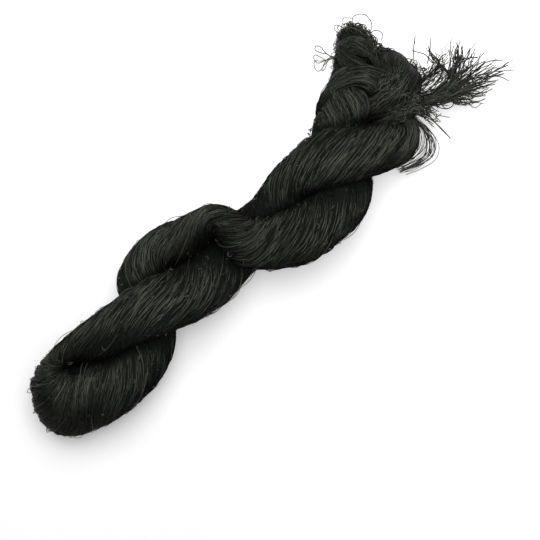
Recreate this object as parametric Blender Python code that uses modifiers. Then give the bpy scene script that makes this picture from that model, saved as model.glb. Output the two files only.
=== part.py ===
"""Hank of black nylon bird netting.

A long strip of gathered net is folded in half, and its two halves are twisted round each
other into a rope. The fold is the loop at the -X end. At the +X end the net is wound once
round itself as a knot: a wrap over the rope, a lobe and a side fold beside it, and the last
bight of net standing up as an ear with one turn laid over it. The cut ends leave the knot
through a neck as a tassel.

Metres, +Z up. The hank lies along X on the plane Z = 0, where its lowest turns are pressed
flat. Tables are in millimetres.
"""

import math

import bmesh
import bpy
import numpy as np

MM = 0.001
CENTRE = (-0.8, 2.8)  # mm, middle of the hank as laid out in the tables, which is the origin
PLY_RADIUS = 19.0  # mm, a ply where it is fullest
CLEARANCE = 0.3  # mm, between the hank's neck and the tassel

# Strands of the hank. Each row is one section: x, y, z of its centre, its half width across
# and its half height, all in mm. A strand is a smooth loft through its rows.
PLY = [
    # the ear, from its tip down into the knot
    (129.2, 55.1, 26, 8.5, 8),
    (124.4, 49.1, 28, 10.3, 10),
    (116.8, 39.1, 31, 12.5, 12),
    (108, 29.1, 35, 13.5, 13),
    # the first half of the net, from the knot to the loop
    (93, 15, 37, 17, 15),
    (77, 6, 30, 17, 16),
    (65, -8, 14.5, 18, 16),
    (54.9, -24.3, 23, 19, 17),
    (36.2, -33.1, 32, 18.5, 18),
    (7.8, -31.3, 37, 18.5, 18),
    (-17, -16.8, 38, 16.5, 17),
    (-26.3, 9.1, 41, 10, 16),
    (-49.8, 14.4, 37, 13, 17),
    (-67, 18.3, 31, 14, 17),
    (-82.6, 12.6, 23, 17.5, 17),
    (-93.8, -2.1, 14.5, 18, 16),
    (-112.3, -23.1, 17, 17.5, 17),
    # the loop: full outside the fold, and pinched where it turns back
    (-139.4, -28.7, 20, 19, 19),
    (-161.6, -22.6, 19, 22, 19),
    (-173.1, -16.2, 18, 21.5, 18),
    (-174.5, -2.2, 17, 13.5, 17),
    (-165.3, 6.1, 17.5, 8, 17),
    (-156.9, 6.2, 20, 7.5, 18),
    # the second half, back from the loop to the knot
    (-143.6, 3.5, 26, 11, 18),
    (-126.9, -1.6, 33, 15, 18),
    (-93.9, -8.5, 39, 18, 18),
    (-67.9, -14.3, 31, 19, 18),
    (-49.8, -13.2, 23, 19.5, 17),
    (-35, -10.3, 17, 20, 16),
    (-22.5, -8.6, 13.5, 19, 14),
    (5.8, -7.7, 23, 15.5, 17),
    (29.5, -2.6, 36, 15, 18),
    (56.7, -8.3, 42, 19.5, 18),
    (83.2, -18.6, 34, 16.8, 18),
    (102.5, -22, 25, 15, 17),
    (111, -5, 15.5, 13, 15.5),
    (100, 10, 14, 12, 14),
    (86, 15, 18, 9, 11),
]
WRAP = [
    (72.6, 21.4, 16, 3.5, 8),
    (79.2, 25.8, 26, 4, 8),
    (88.3, 27.2, 36, 4.8, 8),
    (96.6, 27.5, 43, 6.8, 8),
    (104.5, 22.5, 47.5, 8.2, 8),
    (109.8, 13.8, 49, 8.6, 8),
    (111.5, 5.9, 45, 9, 8),
    (109, -0.7, 39, 8.5, 8),
]
EAR_WRAP = [
    (105, 39.2, 31, 3.5, 8),
    (109.8, 43.4, 37, 3.5, 7),
    (115.8, 44.3, 40, 4.2, 6.5),
    (120.9, 41, 40.5, 4.8, 6.5),
    (123.9, 34.2, 39, 5.2, 6.5),
    (123.8, 27.1, 36, 5.5, 6.5),
]
LOBE = [
    (118, 20, 10, 10, 12),
    (128, 20, 26, 11, 12),
    (128, 13, 38, 12, 10),
    (121, 5, 43, 12, 10),
    (113, -2, 39, 10, 9),
]
SIDE_FOLD = [
    (130, 14, 9.5, 10, 12),
    (132.5, 6, 26, 10.8, 11),
    (128, -1, 35, 10, 9),
    (119, -7, 34, 9, 8),
    (110, -8, 30, 8, 8),
]
NECK = [
    (104, -5, 35, 9, 8),
    (115.5, -9.5, 33, 9, 8),
    (124.5, -12.3, 29, 7.5, 7),
    (130, -14, 26, 6, 5.5),
]
# Each strand's rows, its number of ribs, and the angle in degrees at which its threads lie
# across it. The threads lie left-handed, so the ribs turn the other way from the plies.
STRANDS = [
    (PLY, 13, 47),
    (WRAP, 8, 14),
    (EAR_WRAP, 6, 10),
    (LOBE, 9, 10),
    (SIDE_FOLD, 8, 12),
    (NECK, 7, 16),
]
RIB_HEIGHT = 1.6  # mm, from the bottom of a groove to the top of a rib
POINTS_A_RIB = 4
SECTION_STEP = 3.0  # mm, between a strand's sections
SPAN_POINTS = 40  # points worked out on a strand's centre line from one row to the next
FINE_STEP = 0.5  # mm, spacing at which a strand's centre line is measured
END_ROUND = (15, 40, 65)  # degrees round a rounded end at which it has a section
FLOOR_SIZE = (600, 300, 60)  # mm
FUSE_SIZE = 1.5  # mm, the grid on which the strands are fused
KEPT_SHARE = 0.076  # of the fused surface's faces, after flat places are simplified

# Tassel. Angles are azimuths in the XY plane from +X, and lengths are in mm.
HEAD_LENGTH = 15.0
HEAD_END_SCALE = 0.72  # the head's far end, as a share of its face at the neck
HEAD_RIBS = 5
HEAD_LAY = 16  # degrees, the angle of its ribs, the same as the neck's
HEAD_SECTIONS = 3
THREAD_THICK = (0.46, 0.36)  # mm, a lock's half thickness at its root and at its tip
LOCK_SEGMENTS = 3
REACH_SCATTER = (0.72, 1.0)  # a lock's reach, as a share of the fan's reach at its place
SCATTER_SEED = 7
BEND_PLACE = 0.42  # a lock's bend, as a share of its reach
ROOT_SPREAD = 0.70  # the disc of roots, as a share of the head's width
LOWEST = 0.9  # mm, the lowest that a lock's middle lies
LAYER = 2.0  # mm, how far a lock that lies on the table stands above or below the middle ones
# Each group's number of locks, its place along the head, its lowest and highest slope in
# degrees, how much its locks first follow the head, and its fan. A row of the fan is a place
# across the head from -1 to 1, and the azimuth and reach of the locks there.
LOCK_GROUPS = {
    "main": {
        "locks": 84,
        "place": 0.72,
        "slopes": (-24, 14),
        "bow": 0.4,
        "fan": [
            (-1.0, -44, 27),
            (-0.6, -30, 36),
            (-0.4, -22, 54),
            (0.1, -8, 55),
            (0.5, 10, 46),
            (0.8, 34, 42),
            (1.0, 58, 36),
        ],
    },
    "upper": {
        "locks": 14,
        "place": 0.36,
        "slopes": (-4, 14),
        "bow": 0.2,
        "fan": [(-1.0, 26, 20), (0.0, 42, 25), (1.0, 56, 38)],
    },
    "under": {
        "locks": 10,
        "place": 0.35,
        "slopes": (-34, -10),
        "bow": 0.3,
        "fan": [(-1.0, -72, 14), (0.0, -60, 18), (1.0, -48, 16)],
    },
}


def unit(vectors):
    """Vectors of length one along the last axis."""
    return vectors / np.linalg.norm(vectors, axis=-1, keepdims=True)


def smooth_curve(rows):
    """Catmull-Rom curve through the rows, read every FINE_STEP, and its length so far."""
    rows = np.array(rows, float)
    ends = 2 * rows[[0, -1]] - rows[[1, -2]]
    knots = np.vstack([ends[:1], rows, ends[1:]])
    u = np.linspace(0, 1, SPAN_POINTS, endpoint=False)[:, None]
    spans = []
    for a, b, c, d in zip(knots, knots[1:], knots[2:], knots[3:]):
        cubic = 2 * b + (c - a) * u + (2 * a - 5 * b + 4 * c - d) * u**2
        spans.append((cubic + (3 * b - a - 3 * c + d) * u**3) / 2)
    curve = np.vstack([*spans, rows[-1:]])
    length = np.append(0, np.cumsum(np.linalg.norm(np.diff(curve[:, :3], axis=0), axis=1)))
    even = np.linspace(0, length[-1], int(length[-1] / FINE_STEP) + 1)
    return np.stack([np.interp(even, length, column) for column in curve.T], 1), even


def stations(length, spacing, first_radius, last_radius):
    """Distances along a strand for its sections, and each one's share of full size.

    A radius of 0 leaves that end flat. A rounded end has a section at each END_ROUND angle
    of its quarter circle.
    """
    turn = np.radians(END_ROUND)
    first = first_radius * (1 - np.cos(turn)) if first_radius else np.zeros(0)
    last = length - last_radius * (1 - np.cos(turn[::-1])) if last_radius else np.zeros(0)
    count = max(2, round((length - first_radius - last_radius) / spacing) + 1)
    middle = np.linspace(first_radius, length - last_radius, count)
    share = np.concatenate(
        [np.sin(turn)[: len(first)], np.ones(count), np.sin(turn[::-1])[: len(last)]]
    )
    return np.concatenate([first, middle, last]), share


def lofted_strand(rows, ribs, lay, spacing=SECTION_STEP, points_a_rib=POINTS_A_RIB, flat=""):
    """Vertices and triangles of one closed strand with ribs along its threads.

    Both ends are rounded, but for the one that flat names, "start" or "end".

    A point at angle t of a section stands at centre + side * w * sin(t) + up * h * cos(t),
    where w and h are the half width and half height, plus half a rib times the cosine of
    the place across a rib. The angle t turns steadily along the strand, so that the ribs lie
    at the angle of the threads.
    """
    curve, length = smooth_curve(rows)
    tangent = unit(np.gradient(curve[:, :3], axis=0))
    first_radius = 0 if flat == "start" else rows[0][3]
    last_radius = 0 if flat == "end" else rows[-1][3]
    at, share = stations(length[-1], spacing, first_radius, last_radius)
    sample = np.stack([np.interp(at, length, column) for column in curve.T], 1)
    along = unit(np.stack([np.interp(at, length, column) for column in tangent.T], 1))
    side = unit(np.cross(along, (0, 0, 1)))
    up = np.cross(side, along)
    turn = -math.tan(math.radians(lay)) / PLY_RADIUS
    count = points_a_rib * ribs
    angle = 2 * math.pi * np.arange(count) / count + turn * at[:, None]
    rib = RIB_HEIGHT / 2 * np.cos(2 * math.pi * np.arange(count) / points_a_rib)
    wide = (sample[:, 3:4] + rib) * share[:, None]
    high = (sample[:, 4:5] + rib) * share[:, None]
    points = sample[:, None, :3] + (wide * np.sin(angle))[..., None] * side[:, None]
    points = points + (high * np.cos(angle))[..., None] * up[:, None]
    tips = np.vstack([curve[0, :3], curve[-1, :3]])
    vertices = np.vstack([points.reshape(-1, 3), tips])
    first_tip, last_tip = len(vertices) - 2, len(vertices) - 1
    triangles = []
    for i in range(len(at) - 1):
        for j in range(count):
            k = (j + 1) % count
            a, b = i * count + j, i * count + k
            triangles += [(a, b, b + count), (a, b + count, a + count)]
    for j in range(count):
        k = (j + 1) % count
        end = (len(at) - 1) * count
        triangles += [(first_tip, k, j), (last_tip, end + j, end + k)]
    return vertices, triangles


def lock_of_threads(root, middle, tip):
    """Vertices and triangles of one three-sided lock, on a curve from root to tip.

    The curve is (1 - u)^2 root + 2 u (1 - u) middle + u^2 tip.
    """
    u = np.linspace(0, 1, LOCK_SEGMENTS + 1)[:, None]
    line = (1 - u) ** 2 * root + 2 * u * (1 - u) * middle + u**2 * tip
    along = unit(np.gradient(line, axis=0))
    side = unit(np.cross(along, (0, 0, 1)))
    up = np.cross(side, along)
    thick = THREAD_THICK[0] + (THREAD_THICK[1] - THREAD_THICK[0]) * u
    points = []
    for angle in (0, 120, 240):
        turn = math.radians(angle)
        points.append(line + thick * (side * math.sin(turn) + up * math.cos(turn)))
    vertices = np.stack(points, 1).reshape(-1, 3)
    triangles = [(2, 1, 0)]
    for i in range(LOCK_SEGMENTS):
        for j in range(3):
            a, b = 3 * i + j, 3 * i + (j + 1) % 3
            triangles += [(a, b, b + 3), (a, b + 3, a + 3)]
    last = 3 * LOCK_SEGMENTS
    triangles.append((last, last + 1, last + 2))
    return vertices, triangles


def tassel_locks(start, along, half_width):
    """The locks of every group, fanned out in sunflower order so that none cross.

    Lock number n of a group sits at radius sqrt(n) and n golden angles round a disc. Across
    the disc the azimuth and the root's place grow together, and up it the slope and height.
    """
    golden = math.pi * (3 - math.sqrt(5))
    side = unit(np.cross(along, (0, 0, 1)))
    up = np.cross(side, along)
    scatter = np.random.default_rng(SCATTER_SEED)
    for group in LOCK_GROUPS.values():
        base = start + along * HEAD_LENGTH * group["place"]
        spread = half_width * (1 + (HEAD_END_SCALE - 1) * group["place"]) * ROOT_SPREAD
        places, azimuths, reaches = zip(*group["fan"])
        for n in range(group["locks"]):
            radius = math.sqrt((n + 0.5) / group["locks"])
            across = radius * math.cos(golden * n)
            above = radius * math.sin(golden * n)
            azimuth = math.radians(np.interp(across, places, azimuths))
            slope = math.radians(np.interp(above, (-1, 1), group["slopes"]))
            reach = np.interp(across, places, reaches)
            way = np.array([math.cos(azimuth), math.sin(azimuth), math.tan(slope)])
            root = base - side * across * spread + up * above * spread
            tip = root + way * reach * scatter.uniform(*REACH_SCATTER)
            tip[2] = max(tip[2], LOWEST + LAYER * (1 + above))
            bend = root + (along * group["bow"] + way * (1 - group["bow"])) * reach * BEND_PLACE
            bend[2] = max(bend[2], LOWEST + LAYER)
            yield lock_of_threads(root, bend, tip)


def netting_material(name, colour, roughness):
    """Plain nylon: dark, without metal."""
    material = bpy.data.materials.new(name)
    material.use_nodes = True
    shader = material.node_tree.nodes["Principled BSDF"]
    shader.inputs["Base Color"].default_value = (*colour, 1)
    shader.inputs["Roughness"].default_value = roughness
    shader.inputs["Metallic"].default_value = 0
    return material


def add_object(name, shapes, collection, material=None):
    """One object from closed shapes given in the tables' millimetres."""
    vertices, triangles, offset = [], [], 0
    for points, faces in shapes:
        vertices.append(points)
        triangles += [tuple(offset + i for i in face) for face in faces]
        offset += len(points)
    placed = (np.vstack(vertices) - (*CENTRE, 0)) * MM
    mesh = bpy.data.meshes.new(name)
    mesh.from_pydata(placed.tolist(), [], triangles)
    work = bmesh.new()
    work.from_mesh(mesh)
    bmesh.ops.recalc_face_normals(work, faces=work.faces)
    work.to_mesh(mesh)
    work.free()
    if material:
        mesh.materials.append(material)
    made = bpy.data.objects.new(name, mesh)
    collection.objects.link(made)
    return made


def fuse_strands(target, floor):
    """One surface round all the target's strands, simplified, then cut level at the floor."""
    fuse = target.modifiers.new("Fuse", "REMESH")
    fuse.mode = "VOXEL"
    fuse.voxel_size = FUSE_SIZE * MM
    simplify = target.modifiers.new("Simplify", "DECIMATE")
    simplify.ratio = KEPT_SHARE
    level = target.modifiers.new("Level", "BOOLEAN")
    level.operation = "DIFFERENCE"
    level.object = floor
    level.solver = "EXACT"
    target.modifiers.new("Triangles", "TRIANGULATE")


def join_locks(head, locks):
    """Union of the tassel's head with its locks, which touch each other at their roots."""
    union = head.modifiers.new("Union", "BOOLEAN")
    union.operation = "UNION"
    union.object = locks
    union.solver = "EXACT"
    union.use_self = True
    head.modifiers.new("Triangles", "TRIANGULATE")


def new_collection(name, parent):
    collection = bpy.data.collections.new(name)
    parent.children.link(collection)
    return collection


def add_guide(name, shapes, collection):
    """A solid that is only cut from another one, or joined to it."""
    guide = add_object(name, shapes, collection)
    guide.hide_render = True
    guide.display_type = "WIRE"
    return guide


def add_floor(collection):
    """A block whose top is the plane Z = 0, wider than the hank."""
    bpy.ops.mesh.primitive_cube_add(size=1, location=(0, 0, -FLOOR_SIZE[2] * MM / 2))
    floor = bpy.context.object
    floor.name = "floor"
    floor.scale = [side * MM for side in FLOOR_SIZE]
    bpy.ops.object.transform_apply(location=False, scale=True)
    floor.hide_render = True
    floor.display_type = "WIRE"
    for holder in list(floor.users_collection):
        holder.objects.unlink(floor)
    collection.objects.link(floor)
    return floor


def build_hank(parts, guides):
    """The plies, knot and ear, as one closed solid that is pressed flat where it rests."""
    material = netting_material("netting", (0.014, 0.015, 0.012), 0.5)
    strands = [
        lofted_strand(rows, ribs, lay, flat="end" if rows is NECK else "")
        for rows, ribs, lay in STRANDS
    ]
    hank = add_object("hank", strands, parts, material)
    fuse_strands(hank, add_floor(guides))


def build_cut_ends(parts, guides):
    """The tassel: a head that faces the neck, with its locks rooted in it."""
    material = netting_material("cut_ends", (0.012, 0.013, 0.011), 0.55)
    neck = np.array(NECK, float)
    along = unit(neck[-1, :3] - neck[-2, :3])
    start = neck[-1, :3] + along * CLEARANCE
    face = neck[-1, 3:]
    rows = [
        (*(start + along * HEAD_LENGTH * t), *(face * (1 + (HEAD_END_SCALE - 1) * t)))
        for t in np.linspace(0, 1, HEAD_SECTIONS)
    ]
    spacing = HEAD_LENGTH / (HEAD_SECTIONS - 1)
    head = lofted_strand(rows, HEAD_RIBS, HEAD_LAY, spacing, points_a_rib=2, flat="start")
    tassel = add_object("cut_ends", [head], parts, material)
    join_locks(tassel, add_guide("locks", tassel_locks(start, along, face[0]), guides))


for old in list(bpy.data.objects):
    bpy.data.objects.remove(old, do_unlink=True)

scene_root = bpy.context.scene.collection
bird_netting = new_collection("bird_netting_hank", scene_root)
cutters = new_collection("guides", scene_root)
build_hank(bird_netting, cutters)
build_cut_ends(bird_netting, cutters)
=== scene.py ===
import math

import bpy
import numpy as np
from mathutils import Matrix


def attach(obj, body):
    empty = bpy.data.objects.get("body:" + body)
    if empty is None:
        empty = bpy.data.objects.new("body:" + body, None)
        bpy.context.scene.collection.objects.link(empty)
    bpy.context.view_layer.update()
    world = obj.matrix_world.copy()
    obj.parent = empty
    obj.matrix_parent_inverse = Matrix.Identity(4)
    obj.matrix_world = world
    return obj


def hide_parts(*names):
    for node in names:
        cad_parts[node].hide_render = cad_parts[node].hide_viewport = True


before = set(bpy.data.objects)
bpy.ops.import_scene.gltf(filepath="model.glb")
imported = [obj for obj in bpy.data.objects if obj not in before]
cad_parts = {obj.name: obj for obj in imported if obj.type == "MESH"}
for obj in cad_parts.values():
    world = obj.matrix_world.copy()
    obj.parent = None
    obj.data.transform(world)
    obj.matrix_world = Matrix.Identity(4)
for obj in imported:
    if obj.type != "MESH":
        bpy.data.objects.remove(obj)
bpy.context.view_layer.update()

# ---------------------------------------------------------------------------------------
# The gathered net: one strip of black nylon net, twisted back on itself and knotted. Its
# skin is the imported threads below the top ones, a dark closed surface with grooves between
# the clumps. The skin stands for the CAD hank, and its shader draws finer threads along it.
# ---------------------------------------------------------------------------------------
MM = 0.001
CENTRE = np.array([-0.8, 2.8, 0.0])  # mm, the rows' point that is the frame's origin

# The wound threads follow strands: the ply, whose two halves are twisted round each other,
# and the folds of the knot. A row is a section of a strand: its centre's x, y, z, its half
# width and half height in mm, and the threads' lay, in degrees off the strand's own way.
PLY_ROWS = [
    # the ear, from its tip down into the knot
    (129.2, 55.1, 26, 8.5, 8, 40),
    (124.4, 49.1, 28, 10.3, 10, 40),
    (116.8, 39.1, 31, 12.5, 12, 40),
    (108, 29.1, 35, 13.5, 13, 40),
    # the first half of the net, from the knot to the loop
    (93, 15, 37, 17, 15, 40),
    (77, 6, 30, 17, 16, 40),
    (65, -8, 14.5, 18, 16, 40),
    (54.9, -24.3, 23, 19, 17, 40),
    (36.2, -33.1, 32, 18.5, 18, 41),
    (7.8, -31.3, 37, 18.5, 18, 44),
    (-17, -16.8, 38, 16.5, 17, 52),
    (-26.3, 9.1, 41, 10, 16, 48),
    (-49.8, 14.4, 37, 13, 17, 42),
    (-67, 18.3, 31, 14, 17, 40),
    (-82.6, 12.6, 23, 17.5, 17, 40),
    (-93.8, -2.1, 14.5, 18, 16, 40),
    (-112.3, -23.1, 17, 17.5, 17, 42),
    # the loop, full outside the fold and pinched where it turns back
    (-139.4, -28.7, 20, 19, 19, 50),
    (-161.6, -22.6, 19, 22, 19, 66),
    (-173.1, -16.2, 18, 21.5, 18, 76),
    (-174.5, -2.2, 17, 13.5, 17, 80),
    (-165.3, 6.1, 17.5, 8, 17, 76),
    (-156.9, 6.2, 20, 7.5, 18, 60),
    # the second half, back from the loop to the knot
    (-143.6, 3.5, 26, 11, 18, 45),
    (-126.9, -1.6, 33, 15, 18, 36),
    (-93.9, -8.5, 39, 18, 18, 34),
    (-67.9, -14.3, 31, 19, 18, 38),
    (-49.8, -13.2, 23, 19.5, 17, 40),
    (-35, -10.3, 17, 20, 16, 40),
    (-22.5, -8.6, 13.5, 19, 14, 40),
    (5.8, -7.7, 23, 15.5, 17, 40),
    (29.5, -2.6, 36, 15, 18, 40),
    (56.7, -8.3, 42, 19.5, 18, 40),
    (83.2, -18.6, 34, 16.8, 18, 40),
    (102.5, -22, 25, 15, 17, 40),
    (111, -5, 15.5, 13, 15.5, 40),
    (100, 10, 14, 12, 14, 40),
    (86, 15, 18, 9, 11, 40),
]
WRAP_ROWS = [
    # over the ear's foot
    (72.6, 21.4, 16, 3.5, 8, 14),
    (79.2, 25.8, 26, 4, 8, 14),
    (88.3, 27.2, 36, 4.8, 8, 14),
    (96.6, 27.5, 43, 6.8, 8, 14),
    (104.5, 22.5, 47.5, 8.2, 8, 14),
    (109.8, 13.8, 49, 8.6, 8, 14),
    (111.5, 5.9, 45, 9, 8, 14),
    (109, -0.7, 39, 8.5, 8, 14),
]
EAR_WRAP_ROWS = [
    # once round the ear
    (105, 39.2, 31, 3.5, 8, 10),
    (109.8, 43.4, 37, 3.5, 7, 10),
    (115.8, 44.3, 40, 4.2, 6.5, 10),
    (120.9, 41, 40.5, 4.8, 6.5, 10),
    (123.9, 34.2, 39, 5.2, 6.5, 10),
    (123.8, 27.1, 36, 5.5, 6.5, 10),
]
LOBE_ROWS = [
    (118, 20, 10, 10, 12, 10),
    (128, 20, 26, 11, 12, 10),
    (128, 13, 38, 12, 10, 10),
    (121, 5, 43, 12, 10, 10),
    (113, -2, 39, 10, 9, 10),
]
SIDE_ROWS = [
    (130, 14, 9.5, 10, 12, 12),
    (132.5, 6, 26, 10.8, 11, 12),
    (128, -1, 35, 10, 9, 12),
    (119, -7, 34, 9, 8, 12),
    (110, -8, 30, 8, 8, 12),
]
NECK_ROWS = [
    (104, -5, 35, 9, 8, 16),
    (115.5, -9.5, 33, 9, 8, 16),
    (124.5, -12.3, 29, 7.5, 7, 16),
    (130, -14, 26, 6, 5.5, 16),
]


def unit(vectors):
    """Vectors of length one along the last axis."""
    return vectors / np.maximum(np.linalg.norm(vectors, axis=-1, keepdims=True), 1e-9)


def curve_through(knots, stations):
    """Smooth curves through knots on the second axis, read at that many even stations.

    Between two knots it is the Catmull-Rom cubic of them and their neighbours.
    """
    ends = 2 * knots[:, [0, -1]] - knots[:, [1, -2]]
    padded = np.concatenate([ends[:, :1], knots, ends[:, 1:]], 1)
    place = np.linspace(0, knots.shape[1] - 1.0001, stations)  # just short of the last knot
    span = place.astype(int)
    u = (place - span)[:, None]
    a, b, c, d = (padded[:, span + i] for i in range(4))
    cubic = 2 * b + (c - a) * u + (2 * a - 5 * b + 4 * c - d) * u**2
    return (cubic + (3 * b - a - 3 * c + d) * u**3) / 2


ROW_STATIONS = 40  # curve points for each row
THREAD_STEP = 1.0  # mm of thread between the stations of a strand's table
# The clumps are told by three sums of cosines round a strand, coarse, fine and slow: their
# least and most waves, how many cosines are summed, and how far a phase drifts in a mm.
RIPPLES = ((7, 22, 9, 0.08), (36, 72, 9, 0.2), (1, 5, 5, 0.11))
COSINES = 9  # the most that a sum has
COARSE_GROOVE, FINE_GROOVE = 0.1, 0.32  # mm deep
THINNEST = 0.05  # mm, half a strand where it runs out


class Strand:
    """A smooth line through rows of sections, with the threads winding round it.

    A thread goes on at its lay, so one millimetre along the line is 1 / cos(lay) along the
    thread and turns it back by tan(lay) / half size. The table is read by the distance
    along the threads, which keeps their stations even where the lay is steep. A point of
    the surface is centre + side * w * sin(t) + up * h * cos(t), for t the thread's own
    angle plus the turn so far. Both ends are rounded off over the first and last half
    width. clump_depth makes the clumps deeper or shallower than the ply's.
    """

    def __init__(self, rows, seed, clump_depth=1.0):
        curve = curve_through(np.array(rows, float)[None], ROW_STATIONS * len(rows))[0]
        steps = np.linalg.norm(np.diff(curve[:, :3], axis=0), axis=1)
        along = np.append(0, np.cumsum(steps))
        lay = np.radians(curve[:, 5])
        run = np.append(0, np.cumsum(steps / np.cos(lay[1:])))
        turn = np.append(0, np.cumsum(steps * np.tan(lay[1:]) / curve[1:, 3:5].mean(1)))
        self.length = run[-1]
        place = np.arange(0, self.length, THREAD_STEP)
        columns = np.column_stack([curve[:, :5], turn, along])
        columns = np.stack([np.interp(place, run, column) for column in columns.T], 1)
        self.centre, half, self.along = columns[:, :3], columns[:, 3:5], columns[:, 6]
        self.ahead = unit(np.gradient(self.centre, axis=0))
        self.side = unit(np.cross(self.ahead, (0, 0, 1)))
        self.up = np.cross(self.side, self.ahead)
        first = np.clip(1 - self.along / rows[0][3], 0, 1)
        last = np.clip(1 - (self.along[-1] - self.along) / rows[-1][3], 0, 1)
        self.half = half * np.sqrt((1 - first**2) * (1 - last**2))[:, None]
        self.table = np.hstack([self.centre, self.side, self.up, self.half, -columns[:, 5:6]])
        self.depth = clump_depth
        random = np.random.default_rng(seed)
        self.waves = [random.integers(low, high, count) for low, high, count, _ in RIPPLES]
        self.drifts = [random.normal(0, drift, COSINES) for *_, drift in RIPPLES]
        self.phases = random.uniform(0, 2 * math.pi, (len(RIPPLES), COSINES))

    def ripples(self, kind, thread, place):
        """Sum of cosines round the strand, their phases moving steadily along the thread."""
        terms = zip(self.waves[kind], self.drifts[kind], self.phases[kind])
        return sum(np.cos(wave * thread + drift * place + phase) for wave, drift, phase in terms)

    def clumps(self, thread, place):
        """Height of the clumps of threads, in mm.

        Grooves lie where a sum of cosines passes zero, so they follow the threads, meet and
        part: each is -depth * exp(-(sum / width)**2). The slow sum fades the coarse ones in
        and out and lifts whole patches a little.
        """
        coarse, fine, slow = (self.ripples(kind, thread, place) for kind in range(3))
        shown = np.clip(0.35 + 0.4 * slow, 0, 1)
        coarse_grooves = -COARSE_GROOVE * shown * np.exp(-((coarse / 0.4) ** 2))
        grooves = coarse_grooves - FINE_GROOVE * np.exp(-((fine / 0.6) ** 2))
        return self.depth * (grooves + 0.04 * coarse + 0.08 * fine + 0.2 * slow)

    def surface(self, thread, place, lift):
        """Points in mm, `lift` above the strand's oval on the thread of that angle.

        The table is read between its two nearest rows: 0 to 2 the centre, 3 to 5 the side, 6
        to 8 the way up, 9 and 10 the half sizes, and 11 the turn so far.
        """
        place = np.clip(place, 0, len(self.table) - 1.001)
        low = place.astype(int)
        part = (place - low)[..., None]
        read = self.table[low] * (1 - part) + self.table[low + 1] * part
        half = np.maximum(read[..., 9:11] + lift[..., None], THINNEST)
        angle = thread + read[..., 11]
        across = (half[..., 0] * np.sin(angle))[..., None] * read[..., 3:6]
        upwards = (half[..., 1] * np.cos(angle))[..., None] * read[..., 6:9]
        return read[..., :3] + across + upwards


ply = Strand(PLY_ROWS, seed=11)
wrap = Strand(WRAP_ROWS, seed=12, clump_depth=0.7)
ear_wrap = Strand(EAR_WRAP_ROWS, seed=16, clump_depth=0.7)
lobe = Strand(LOBE_ROWS, seed=13, clump_depth=0.7)
side_fold = Strand(SIDE_ROWS, seed=14, clump_depth=0.7)
neck = Strand(NECK_ROWS, seed=15, clump_depth=0.6)
strands = [ply, wrap, ear_wrap, lobe, side_fold, neck]


def arithmetic(tree, operation, *values, clamped=False):
    """Result of one arithmetic node, its inputs fed by sockets or by plain numbers."""
    node = tree.nodes.new("ShaderNodeMath")
    node.operation, node.use_clamp = operation, clamped
    for k, value in enumerate(values):
        if isinstance(value, float):
            node.inputs[k].default_value = value
        else:
            tree.links.new(value, node.inputs[k])
    return node.outputs[0]


def streaks_group():
    """Node group: streaks along a thread map, where x runs along and y across the threads.

    The streak is 0.5 + contrast * (noise - 0.5), kept within 0 to 1, for a noise read at
    the map's x times Along and y times Across.
    """
    group = bpy.data.node_groups.new("thread_streaks", "ShaderNodeTree")
    face = group.interface
    face.new_socket("Map", in_out="INPUT", socket_type="NodeSocketVector")
    for name, value in (("Along", 20.0), ("Across", 300.0), ("Contrast", 1.0)):
        socket = face.new_socket(name, in_out="INPUT", socket_type="NodeSocketFloat")
        socket.default_value = value
    face.new_socket("Streak", in_out="OUTPUT", socket_type="NodeSocketFloat")
    nodes, links = group.nodes, group.links
    start = nodes.new("NodeGroupInput")
    scale = nodes.new("ShaderNodeCombineXYZ")
    links.new(start.outputs["Along"], scale.inputs[0])
    links.new(start.outputs["Across"], scale.inputs[1])
    stretch = nodes.new("ShaderNodeVectorMath")
    stretch.operation = "MULTIPLY"
    links.new(start.outputs["Map"], stretch.inputs[0])
    links.new(scale.outputs[0], stretch.inputs[1])
    noise = nodes.new("ShaderNodeTexNoise")
    noise.inputs["Scale"].default_value = 1.0
    noise.inputs["Detail"].default_value = 3.0
    noise.inputs["Roughness"].default_value = 0.6
    links.new(stretch.outputs[0], noise.inputs["Vector"])
    middle = arithmetic(group, "SUBTRACT", noise.outputs[0], 0.5)
    contrast = start.outputs["Contrast"]
    streak = arithmetic(group, "MULTIPLY_ADD", middle, contrast, 0.5, clamped=True)
    links.new(streak, nodes.new("NodeGroupOutput").inputs[0])
    return group


thread_streaks = streaks_group()
SHEEN_TINT = (0.92, 1.0, 0.8, 1)  # black nylon shines a little olive
BLACK_SHINE = 0.1  # the share of the shine that a black thread keeps


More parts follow.
